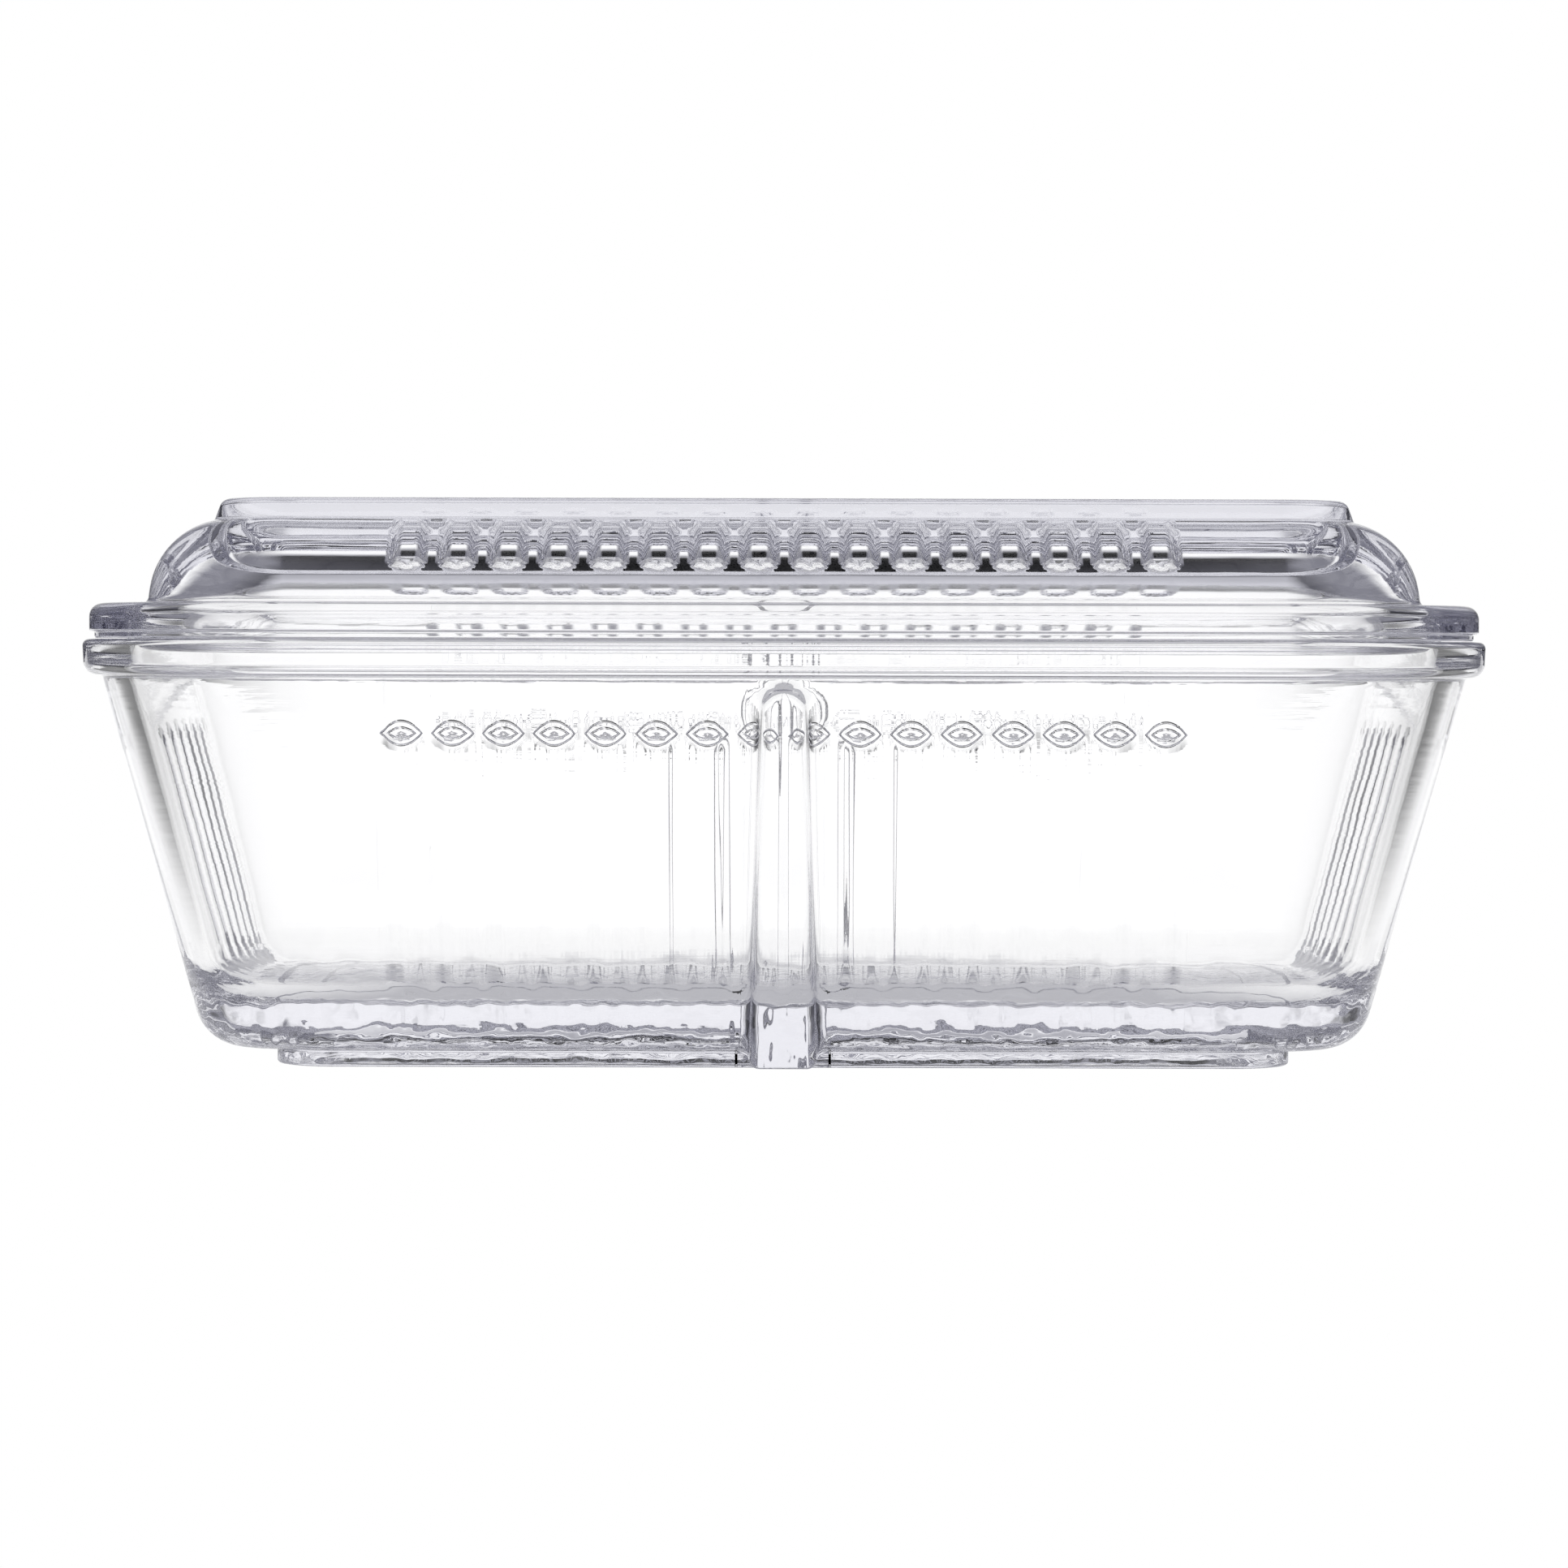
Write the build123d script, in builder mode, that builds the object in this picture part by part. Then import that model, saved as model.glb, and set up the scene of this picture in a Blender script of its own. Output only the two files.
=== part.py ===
from build123d import *
from math import cos, radians, sin, tan
import os

# Butter dish in clear pressed glass: a deep tub, and a lid that rests on its rim.
# Millimetres. +X runs along the length, +Y across the width, +Z up.
# The origin is the centre of the tub's foot, on the table.

# ---- driving dimensions -----------------------------------------------------
LENGTH = 189.0                      # over the tub's rim
WIDTH = 105.0
RIM_TOP = 57.2
LID_TOP = 76.1
WALL = 3.6
DRAFT = 15.5                        # degrees that the tub's walls lean out
CORNER_CENTRE = 66.0                # every rounded corner turns about this X

# ---- tub, outside -----------------------------------------------------------
LEAN = tan(radians(DRAFT))          # how far a wall moves out for each mm of height
RIM_CORNER = LENGTH / 2 - CORNER_CENTRE
RIM_UNDER = 52.4                    # where the rim bead starts
RIM_OVERHANG = 2.4                  # how far the bead stands out from the neck
RIM_EDGE_TOP = 0.9
RIM_EDGE_UNDER = 1.8
RIM_TAPER = 3.0                     # degrees that the bead's face leans out

NECK_TOP = RIM_UNDER + 1.0          # the walls run a little way into the bead
NECK_LENGTH = LENGTH - 2 * RIM_OVERHANG
NECK_WIDTH = WIDTH - 2 * RIM_OVERHANG
NECK_CORNER = RIM_CORNER - RIM_OVERHANG
BODY_UNDER = 2.4
BODY_EDGE = 6.6                     # round edge under the walls

FOOT_LENGTH = 137.0
FOOT_WIDTH = 62.0
FOOT_CORNER = 8.0
FOOT_EDGE = 0.5
FOOT_BAND = 6.0                     # width of the ring that the tub stands on
FOOT_RECESS = 0.8
FOOT_ROOT = 1.0                     # how far the foot runs up into the body
RECESS_CORNER = 4.0
RECESS_TAPER = 30.0

# ---- tub, inside ------------------------------------------------------------
FLOOR_TOP = 9.3
FLOOR_EDGE = 8.0
MOUTH_EDGE = 0.8
MOUTH_RISE = (RIM_TOP - NECK_TOP) * LEAN
MOUTH_LENGTH = NECK_LENGTH - 2 * WALL + 2 * MOUTH_RISE
MOUTH_WIDTH = NECK_WIDTH - 2 * WALL + 2 * MOUTH_RISE
MOUTH_CORNER = NECK_CORNER - WALL + MOUTH_RISE

# ---- flutes: shallow round-ended grooves in the inside of the walls ---------
FLUTE_PITCH = 6.64
SIDE_FLUTES = 16
END_FLUTES = 7
FLUTE_WIDTH = 4.8
FLUTE_DEPTH = 0.6
FLUTE_RADIUS = (FLUTE_WIDTH ** 2 / 4 + FLUTE_DEPTH ** 2) / (2 * FLUTE_DEPTH)
FLUTE_INSET = FLUTE_RADIUS - FLUTE_DEPTH    # from the wall's face to the cutter's axis
FLUTE_TOP = 43.0                            # centre of the round upper end
FLUTE_LOW = 14.9                            # centre of the round lower end
FLUTE_MIDDLE = (FLUTE_TOP + FLUTE_LOW) / 2
FLUTE_RUN = (FLUTE_TOP - FLUTE_LOW) / cos(radians(DRAFT))

# ---- pillar: a rib down the middle of each long wall ------------------------
PILLAR_TOP = 50.9
PILLAR_TOP_WIDTH = 5.8
PILLAR_FOOT_WIDTH = 8.3
PILLAR_PROUD = 2.6
PILLAR_ROOT = 3.0                   # depth to which the rib is buried in the wall
PILLAR_EDGE = 1.8
PILLAR_FACE = NECK_WIDTH / 2 - NECK_TOP * LEAN      # the wall's face, carried down to the table
DOME_START = PILLAR_TOP / cos(radians(DRAFT)) - PILLAR_TOP_WIDTH / 2
PILLAR_PLANE = Plane(
    origin=(0, -PILLAR_FACE, 0),
    x_dir=(1, 0, 0),
    z_dir=(0, -cos(radians(DRAFT)), -sin(radians(DRAFT))),
)
TOE_BOTTOM = 0.5                    # the rib's toe clears the table
TOE_TOP = 4.5
TOE_OUT = PILLAR_FACE + PILLAR_PROUD * cos(radians(DRAFT))
TOE_IN = FOOT_WIDTH / 2 - FOOT_CORNER / 2

# ---- lid --------------------------------------------------------------------
SEAT_GAP = 0.1                      # the lid's lip over the rim
LIP_BOTTOM = RIM_TOP + SEAT_GAP
LIP_HEIGHT = 0.9
LIP_INSET = 0.7                     # from the flange's edge to the lip's
FLANGE_INSET = 1.0                  # from the tub's rim to the flange's edge
FLANGE_LENGTH = LENGTH - 2 * FLANGE_INSET
FLANGE_WIDTH = WIDTH - 2 * FLANGE_INSET
FLANGE_BOTTOM = LIP_BOTTOM + LIP_HEIGHT
FLANGE_TOP = 62.0
FLANGE_EDGE_TOP = 1.8
FLANGE_EDGE_UNDER = 0.3
LIP_LENGTH = FLANGE_LENGTH - 2 * LIP_INSET
LIP_WIDTH = FLANGE_WIDTH - 2 * LIP_INSET

SHOULDER_TOP = 73.5
SHOULDER_EDGE = 11.2                # the shoulder is one round edge, from the flange to the table
SHOULDER_LENGTH = 171.2
SHOULDER_DROP = (FLANGE_LENGTH - SHOULDER_LENGTH) / 2
SHOULDER_WIDTH = FLANGE_WIDTH - 2 * SHOULDER_DROP
SHOULDER_ROOT = 1.0

TABLE_LENGTH = 154.0                # the raised flat top of the lid
TABLE_DROP = (SHOULDER_LENGTH - TABLE_LENGTH) / 2
TABLE_WIDTH = SHOULDER_WIDTH - 2 * TABLE_DROP
TABLE_ROOT = 72.6                   # height at which the table has that length
TABLE_TAPER = 20.0
TABLE_EDGE = 1.5

CEILING = 67.4                      # inside top of the lid, under 8.7 mm of glass
CEILING_EDGE = 10.8                 # round edge between the lid's inner wall and its ceiling
LID_MOUTH_LENGTH = SHOULDER_LENGTH - 2 * WALL
LID_MOUTH_WIDTH = SHOULDER_WIDTH - 2 * WALL

GUIDE_HEIGHT = 2.0                  # ring under the lid that drops inside the tub's mouth
GUIDE_CLEARANCE = 1.3
GUIDE_EDGE = 0.5
GUIDE_LENGTH = MOUTH_LENGTH - 2 * GUIDE_CLEARANCE
GUIDE_WIDTH = MOUTH_WIDTH - 2 * GUIDE_CLEARANCE

LID_FLUTE_RUN = 5.0                 # straight part of a lid flute, under the corner of the ceiling
LID_FLUTE_TILT = 78.0               # degrees round the corner from the wall, at the flute's middle

TOUCH = 0.05                        # tolerance for picking faces and edges by height


def corner_radius(length):
    """Plan radius of a rounded rectangle of this length, about the shared centre."""
    return length / 2 - CORNER_CENTRE


def flute_distance(mouth_size):
    """How far from the tub's middle its flutes' axes are, halfway up, for a mouth of this size."""
    face = mouth_size / 2 - (RIM_TOP - FLUTE_MIDDLE) * LEAN
    return face - FLUTE_INSET / cos(radians(DRAFT))


def side_flute_plane(side):
    """Middle of the side flutes' axes: side is -1 for the front wall, 1 for the back."""
    return Plane(
        origin=(0, side * flute_distance(MOUTH_WIDTH), FLUTE_MIDDLE),
        x_dir=(1, 0, 0),
        z_dir=(0, side * sin(radians(DRAFT)), cos(radians(DRAFT))),
    )


def end_flute_plane(side):
    """Middle of the end flutes' axes: side is -1 for the left wall, 1 for the right."""
    return Plane(
        origin=(side * flute_distance(MOUTH_LENGTH), 0, FLUTE_MIDDLE),
        x_dir=(0, 1, 0),
        z_dir=(side * sin(radians(DRAFT)), 0, cos(radians(DRAFT))),
    )


def lid_flute_plane(side):
    """Middle of the lid flutes' axes, across the round corner under the ceiling."""
    tilt = radians(LID_FLUTE_TILT)
    reach = CEILING_EDGE - FLUTE_INSET
    return Plane(
        origin=(
            0,
            side * (LID_MOUTH_WIDTH / 2 - CEILING_EDGE + reach * cos(tilt)),
            CEILING - CEILING_EDGE + reach * sin(tilt),
        ),
        x_dir=(1, 0, 0),
        z_dir=(0, -side * sin(tilt), cos(tilt)),
    )


def flute_cutter(run):
    """A round-ended rod whose straight part is this long."""
    with BuildPart() as cutter:
        Cylinder(FLUTE_RADIUS, run)
        with Locations((0, 0, run / 2), (0, 0, -run / 2)):
            Sphere(FLUTE_RADIUS)
    return cutter.part


def cut_flutes(plane, run, count):
    """Cuts a row of flutes out of the part being built, centred on the plane's origin."""
    with Locations(plane):
        with GridLocations(FLUTE_PITCH, 1, count, 1):
            add(flute_cutter(run), mode=Mode.SUBTRACT)


# ---- shapes that the tub is joined from -------------------------------------
with BuildPart() as foot:
    with BuildSketch():
        RectangleRounded(FOOT_LENGTH, FOOT_WIDTH, FOOT_CORNER)
    extrude(amount=BODY_UNDER + FOOT_ROOT)
    fillet(foot.faces().sort_by(Axis.Z)[0].edges(), FOOT_EDGE)
    # a shallow recess leaves a ring to stand on
    with BuildSketch():
        RectangleRounded(FOOT_LENGTH - 2 * FOOT_BAND, FOOT_WIDTH - 2 * FOOT_BAND, RECESS_CORNER)
    extrude(amount=FOOT_RECESS, taper=RECESS_TAPER, mode=Mode.SUBTRACT)

with BuildPart() as rim_bead:
    with BuildSketch(Plane.XY.offset(RIM_TOP)):
        RectangleRounded(LENGTH, WIDTH, RIM_CORNER)
    extrude(amount=-(RIM_TOP - RIM_UNDER), taper=RIM_TAPER)
    fillet(rim_bead.faces().sort_by(Axis.Z)[0].edges(), RIM_EDGE_UNDER)
    fillet(rim_bead.faces().sort_by(Axis.Z)[-1].edges(), RIM_EDGE_TOP)

with BuildPart() as pillar:
    # outline of the front rib, drawn on the sloping face of the wall
    with BuildSketch(PILLAR_PLANE) as pillar_outline:
        with BuildLine():
            CenterArc((0, DOME_START), PILLAR_TOP_WIDTH / 2, 0, 360)
            Line((-PILLAR_FOOT_WIDTH / 2, 0), (PILLAR_FOOT_WIDTH / 2, 0))
        make_hull()
    extrude(amount=PILLAR_PROUD)
    pillar_front = pillar.faces().filter_by(PILLAR_PLANE).sort_by(Axis.Y)[0]
    fillet(pillar_front.edges().sort_by(Axis.Z)[1:], PILLAR_EDGE)
    extrude(pillar_outline.sketch, amount=-PILLAR_ROOT)
    # the toe carries the rib on under the body as far as the foot
    with BuildSketch(Plane.XY.offset(TOE_BOTTOM)):
        with Locations((0, -(TOE_OUT + TOE_IN) / 2)):
            Rectangle(PILLAR_FOOT_WIDTH, TOE_OUT - TOE_IN)
    extrude(amount=TOE_TOP - TOE_BOTTOM)
    # a flat cut keeps it all clear of the table
    split(bisect_by=Plane.XY.offset(TOE_BOTTOM), keep=Keep.TOP)

# ---- tub --------------------------------------------------------------------
with BuildPart() as tub:
    # walls and solid bottom
    with BuildSketch(Plane.XY.offset(NECK_TOP)):
        RectangleRounded(NECK_LENGTH, NECK_WIDTH, NECK_CORNER)
    extrude(amount=-(NECK_TOP - BODY_UNDER), taper=DRAFT)
    fillet(tub.faces().sort_by(Axis.Z)[0].edges(), BODY_EDGE)
    add(foot.part)
    add(rim_bead.part)
    add(pillar.part)
    add(mirror(pillar.part, about=Plane.XZ, mode=Mode.PRIVATE))

    # cavity, open at the rim
    with BuildSketch(Plane.XY.offset(RIM_TOP)):
        RectangleRounded(MOUTH_LENGTH, MOUTH_WIDTH, MOUTH_CORNER)
    extrude(amount=-(RIM_TOP - FLOOR_TOP), taper=DRAFT, mode=Mode.SUBTRACT)
    floor_face = tub.faces().filter_by(Plane.XY).filter_by_position(
        Axis.Z, FLOOR_TOP - TOUCH, FLOOR_TOP + TOUCH
    )
    fillet(floor_face.edges(), FLOOR_EDGE)
    mouth_edges = (
        tub.edges()
        .filter_by_position(Axis.Z, RIM_TOP - TOUCH, RIM_TOP + TOUCH)
        .filter_by(lambda edge: abs(edge.center().X) < MOUTH_LENGTH / 2 + TOUCH)
        .filter_by(lambda edge: abs(edge.center().Y) < MOUTH_WIDTH / 2 + TOUCH)
    )
    fillet(mouth_edges, MOUTH_EDGE)

    # flutes
    for side in (-1, 1):
        cut_flutes(side_flute_plane(side), FLUTE_RUN, SIDE_FLUTES)
        cut_flutes(end_flute_plane(side), FLUTE_RUN, END_FLUTES)

# ---- shapes that the lid is joined from -------------------------------------
with BuildPart() as shoulder:
    with BuildSketch(Plane.XY.offset(FLANGE_BOTTOM)):
        RectangleRounded(SHOULDER_LENGTH, SHOULDER_WIDTH, corner_radius(SHOULDER_LENGTH))
    extrude(amount=SHOULDER_TOP - FLANGE_BOTTOM)
    fillet(shoulder.faces().sort_by(Axis.Z)[-1].edges(), SHOULDER_EDGE)

with BuildPart() as raised_table:
    with BuildSketch(Plane.XY.offset(TABLE_ROOT)):
        RectangleRounded(TABLE_LENGTH, TABLE_WIDTH, corner_radius(TABLE_LENGTH))
    extrude(amount=LID_TOP - TABLE_ROOT, taper=TABLE_TAPER)
    fillet(raised_table.faces().sort_by(Axis.Z)[-1].edges(), TABLE_EDGE)

with BuildPart() as hollow:
    with BuildSketch(Plane.XY.offset(LIP_BOTTOM - GUIDE_HEIGHT)):
        RectangleRounded(LID_MOUTH_LENGTH, LID_MOUTH_WIDTH, corner_radius(LID_MOUTH_LENGTH))
    extrude(amount=CEILING - LIP_BOTTOM + GUIDE_HEIGHT)
    fillet(hollow.faces().sort_by(Axis.Z)[-1].edges(), CEILING_EDGE)

# ---- lid --------------------------------------------------------------------
with BuildPart() as lid:
    # flange
    with BuildSketch(Plane.XY.offset(FLANGE_BOTTOM)):
        RectangleRounded(FLANGE_LENGTH, FLANGE_WIDTH, corner_radius(FLANGE_LENGTH))
    extrude(amount=FLANGE_TOP - FLANGE_BOTTOM)
    fillet(lid.faces().sort_by(Axis.Z)[-1].edges(), FLANGE_EDGE_TOP)
    fillet(lid.faces().sort_by(Axis.Z)[0].edges(), FLANGE_EDGE_UNDER)

    # lip that meets the tub's rim, and the guide ring inside it
    with BuildSketch(Plane.XY.offset(LIP_BOTTOM)):
        RectangleRounded(LIP_LENGTH, LIP_WIDTH, corner_radius(LIP_LENGTH))
    extrude(amount=LIP_HEIGHT)
    fillet(lid.faces().sort_by(Axis.Z)[0].edges(), FLANGE_EDGE_UNDER)
    with BuildSketch(Plane.XY.offset(LIP_BOTTOM)):
        RectangleRounded(GUIDE_LENGTH, GUIDE_WIDTH, corner_radius(GUIDE_LENGTH))
    extrude(amount=-GUIDE_HEIGHT)
    fillet(lid.faces().sort_by(Axis.Z)[0].edges(), GUIDE_EDGE)

    # shoulder and raised table
    add(shoulder.part)
    shoulder_root = (
        lid.edges()
        .filter_by_position(Axis.Z, FLANGE_TOP - TOUCH, FLANGE_TOP + TOUCH)
        .filter_by(lambda edge: abs(edge.center().X) < SHOULDER_LENGTH / 2 + TOUCH)
        .filter_by(lambda edge: abs(edge.center().Y) < SHOULDER_WIDTH / 2 + TOUCH)
    )
    fillet(shoulder_root, SHOULDER_ROOT)
    add(raised_table.part)

    # hollow, with a round edge at its mouth, and flutes round the corner of its ceiling
    add(hollow.part, mode=Mode.SUBTRACT)
    mouth_face = lid.faces().sort_by(Axis.Z)[0]
    fillet(mouth_face.inner_wires()[0].edges(), GUIDE_EDGE)
    for side in (-1, 1):
        cut_flutes(lid_flute_plane(side), LID_FLUTE_RUN, SIDE_FLUTES)

# ---- write the pieces -------------------------------------------------------
os.makedirs("parts", exist_ok=True)
tub.part.label = "tub"
export_step(tub.part, "parts/tub.step")
lid.part.label = "lid"
export_step(lid.part, "parts/lid.step")
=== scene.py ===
import bpy
import math
import numpy as np
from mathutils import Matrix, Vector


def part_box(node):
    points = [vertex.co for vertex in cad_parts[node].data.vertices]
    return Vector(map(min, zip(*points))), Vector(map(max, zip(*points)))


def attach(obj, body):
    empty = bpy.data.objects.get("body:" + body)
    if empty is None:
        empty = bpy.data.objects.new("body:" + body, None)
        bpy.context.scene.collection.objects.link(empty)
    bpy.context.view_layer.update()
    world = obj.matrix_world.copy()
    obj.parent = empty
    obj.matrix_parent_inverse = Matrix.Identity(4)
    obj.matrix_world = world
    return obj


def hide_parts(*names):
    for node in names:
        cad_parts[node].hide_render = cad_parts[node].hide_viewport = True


# A butter dish in clear pressed glass: a deep tub, and a lid that rests on its rim.
# Each piece is one closed section, in millimetres, lofted round a rounded-rectangle plan. The flutes
# and the pillars are then pressed into the loft. Meshes are scaled to metres when they are made.

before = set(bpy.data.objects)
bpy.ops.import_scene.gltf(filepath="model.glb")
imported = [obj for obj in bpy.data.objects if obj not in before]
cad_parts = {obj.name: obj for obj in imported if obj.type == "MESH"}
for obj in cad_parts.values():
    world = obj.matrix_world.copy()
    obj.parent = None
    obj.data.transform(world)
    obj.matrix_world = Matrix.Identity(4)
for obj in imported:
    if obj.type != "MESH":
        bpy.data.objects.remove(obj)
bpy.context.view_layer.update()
_, tub_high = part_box("tub")
lid_low, lid_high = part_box("lid")

MM = 0.001

# ---- the plan ----------------------------------------------------------------
HALF_LENGTH = tub_high.x / MM
HALF_WIDTH = tub_high.y / MM
RIM_TOP = tub_high.z / MM
LID_TOP = lid_high.z / MM
CORE_X = 66.0                               # the rounded corners turn about (CORE_X, CORE_Y)
CORE_Y = HALF_WIDTH - (HALF_LENGTH - CORE_X)
DRAFT = math.radians(15.5)                  # how far the tub's walls lean out
LEAN = math.tan(DRAFT)
WALL = 3.6
FINE_STEP = 0.35                            # spacing of rings where the surface needs them close

# ---- tub ---------------------------------------------------------------------
WALL_MIDDLE = 40.0                          # a height on the straight part of the wall
NECK_OUT = 26.1                             # the neck's distance from the core, at NECK_TOP
NECK_TOP = 53.4
NECK_ROUND = 0.6
RIM_UNDER = 52.4
RIM_TAPER = math.radians(3.0)
RIM_EDGE_TOP = 0.9
RIM_EDGE_UNDER = 1.8
BODY_UNDER = 2.4
BODY_EDGE = 6.6
FOOT = (68.5, 31.0, 8.0)                    # half length, half width and corner radius
FOOT_EDGE = 0.5
FOOT_BAND = 6.0
FOOT_RECESS = 0.8
RECESS_SLOPE = math.radians(30)
RECESS_EDGE = 0.1                           # half width of the narrow bevel round the recess
FLOOR_TOP = 9.3
FLOOR_EDGE = 8.0
MOUTH_EDGE = 0.8

# ---- lid ---------------------------------------------------------------------
LIP_GAP = 0.1                               # between the lid's lip and the rim that it lies on
LIP_HEIGHT = 0.9
LIP_BOTTOM = RIM_TOP + LIP_GAP
LIP_OUT = 26.8
LIP_ROOT = 0.2
FLANGE_OUT = 27.5
FLANGE_BOTTOM = LIP_BOTTOM + LIP_HEIGHT
FLANGE_TOP = 62.0
FLANGE_EDGE_TOP = 1.8
FLANGE_EDGE_UNDER = 0.3
GUIDE_BOTTOM = lid_low.z / MM
GUIDE_CLEARANCE = 1.3
GUIDE_EDGE = 0.5
SHOULDER_OUT = 19.6
SHOULDER_RADIUS = 11.2
SHOULDER_TOP = 73.5
SHOULDER_ROOT = 1.0
TABLE_OUT = 11.0
TABLE_ROOT = 72.6                           # height at which the table reaches TABLE_OUT
TABLE_TAPER = math.radians(20.0)
TABLE_EDGE = 1.5
TABLE_FOOT_EDGE = 0.6
LID_WALL = 3.6
CEILING = 67.4
CEILING_ROUND = 10.8                        # radius of the hollow's round upper edge

# ---- flutes ------------------------------------------------------------------
FLUTE_PITCH = 6.64
SIDE_FLUTES = 16
END_FLUTES = 7
FLUTE_HALF = 2.4
FLUTE_DEPTH = 0.6
FLUTE_RADIUS = (FLUTE_HALF ** 2 + FLUTE_DEPTH ** 2) / (2 * FLUTE_DEPTH)
END_FLUTE_DEPTH = 0.13
FLUTE_SOFT = 0.05                           # how much the flutes' edges are rounded
TUB_FLUTE_TIP = 1.5                         # how far a flute's end bulges past its corners
TUB_FACET_SLOPE = 0.207                     # slope of the facet that closes a flute
LID_FLUTE_TIP = 1.6
LID_FACET_SLOPE = 0.38
LID_FLUTE_FLAT = 1.6                        # half width of a lid flute's flat bottom
LID_FLUTE_EDGE = 0.4                        # width of the steep edge round its end
LID_FLUTE_FADE = 0.35                       # slope of its upper end, as a share of the lower end's
TUB_FLUTE_TOP = 44.6                        # height of the corners of a flute's upper end
TUB_FLUTE_LOW = 11.5                        # and of the corners of its lower end
LID_FLUTE_LOW = math.radians(62)            # how far round the corner a lid flute's lower end is
EYE_MIDDLE = 45.3                           # height of the thin outline round a flute's upper end
EYE_HALF_WIDTH = 2.65
EYE_HALF_HEIGHT = 1.6
EYE_CREASE = 0.25                           # depth of that outline, which is a crease
EYE_LINE = 0.12                             # half width of the line, as a share of the eye's size
EYE_INNER = 0.45                            # size of the second eye inside the first

# ---- pillars -----------------------------------------------------------------
PILLAR_TOP = 50.9
PILLAR_TOP_HALF = 2.9
PILLAR_FOOT_HALF = 4.5
PILLAR_PROUD = 2.6
PILLAR_EDGE = 1.3                           # width of the rounding inside the outline
PILLAR_ROOT = 1.3                           # width of the hollow outside it
PILLAR_HALO = 1.7                           # how much wider the hollow is round the dome
HALO_RISE = (45.0, 47.5)                    # heights over which the hollow widens,
HALO_FALL = (49.0, 52.0)                    # and over which it narrows again
PILLAR_MIDDLE = 0.12                        # distance from the middle to the first station
TOE_BOTTOM = 0.5
TOE_EDGE = 0.6
TOE_STEPS = 6
PILLAR_ZONE = FLUTE_PITCH                   # half width of the strip with the pillar's own stations
ZONE_HALF = 3.5                             # half width for which that strip's stations are counted

# ---- glass: sizes of patches and heights of waves are in millimetres -----------
GLASS_INDEX = 1.52
GLASS_TINT = (0.58, 0.58, 0.68, 1)          # long ways through come out a little grey and lilac
GLASS_DENSITY = 8.0
WAVE_SIZE = 9.0
WAVE_HEIGHT = 0.03
DRAG_SIZE = 1.3                             # fine lines that run along the dish
DRAG_STRETCH = 0.06
DRAG_HEIGHT = 0.012
RIPPLE_SIZE = 5.0                           # waves that the mould left round the underside
TUB_RIPPLE = 0.6
RIPPLE_GAP = 0.3                            # they start this far under the floor,
RIPPLE_FADE = 3.0                           # reach full height this much lower,
RIPPLE_TOP = 17.0                           # and on the outer face grow between these two heights
RIPPLE_FULL = 9.0
STREAK_SIZE = 3.0                           # upright streaks in the long walls
STREAK_STRETCH = (1.0, 0.1, 0.01)
STREAK_HEIGHT = 0.25
SMUDGE_SIZE = 22.0
SMUDGE_NOISE = (0.1, 0.3)                   # the noise over which a smudge comes in
SMUDGE_ROUGHNESS = 0.015
WEAR_SIZE = 1.5                             # specks worn into the ring that the dish stands on
WEAR_NOISE = (-0.1, 0.2)
WEAR_HEIGHTS = (0.5, 0.05)                  # they come in between these heights, going down
WEAR_ROUGHNESS = 0.3

# ---- light -------------------------------------------------------------------
FLOOR_REACH = 3.0                           # metres
FLOOR_BELOW = 0.0002                        # the floor is this far below the foot
# the floor's brightness, by distance from the middle in metres, across the dish: the dim middle is a
# painted shadow under and close to the dish
FLOOR_GLOW_AND_PAINTED_SHADOW_STOPS = (
    (0.0, (0.50, 0.50, 0.53)),
    (0.040, (0.50, 0.50, 0.53)),
    (0.055, (1.0, 1.0, 1.0)),
    (0.30, (1.1, 1.1, 1.1)),
)
# brightness ahead and behind, and at the sides, by the sine of the elevation
SWEEP_STOPS = (
    (0.0, (1.12, 1.12, 1.12)),
    (0.44, (1.12, 1.12, 1.12)),
    (0.55, (0.45, 0.45, 0.48)),
    (0.62, (0.0, 0.0, 0.0)),
    (0.93, (0.0, 0.0, 0.0)),
    (0.98, (0.6, 0.6, 0.66)),
)
SIDE_STOPS = (
    (0.0, (0.02, 0.02, 0.025)),
    (0.10, (0.02, 0.02, 0.025)),
    (0.30, (0.24, 0.24, 0.28)),
    (0.80, (0.24, 0.24, 0.28)),
    (0.93, (0.1, 0.1, 0.12)),
    (0.98, (0.6, 0.6, 0.66)),
)
# where the dark flags start at both sides, as the sine of the angle from straight ahead
FLAG_START = 0.08
FLAG_FULL = 0.38
# and where they start on the floor, in metres past the middle
FLAG_NEAR = 0.10
FLAG_FAR = 0.20
FLAG_SPREAD = 0.6
FLAG_GLOW = 0.20
BOUNCES = 32                                # light runs a long way inside the glass

# ---- camera, in metres and degrees ---------------------------------------------
CAMERA_PLACE = (0.0, -0.6125, 0.0555)
CAMERA_DOWN = 1.72
CAMERA_ROLL = -0.15
CAMERA_LENS = 100.0
CAMERA_SENSOR = 36.0


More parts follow.
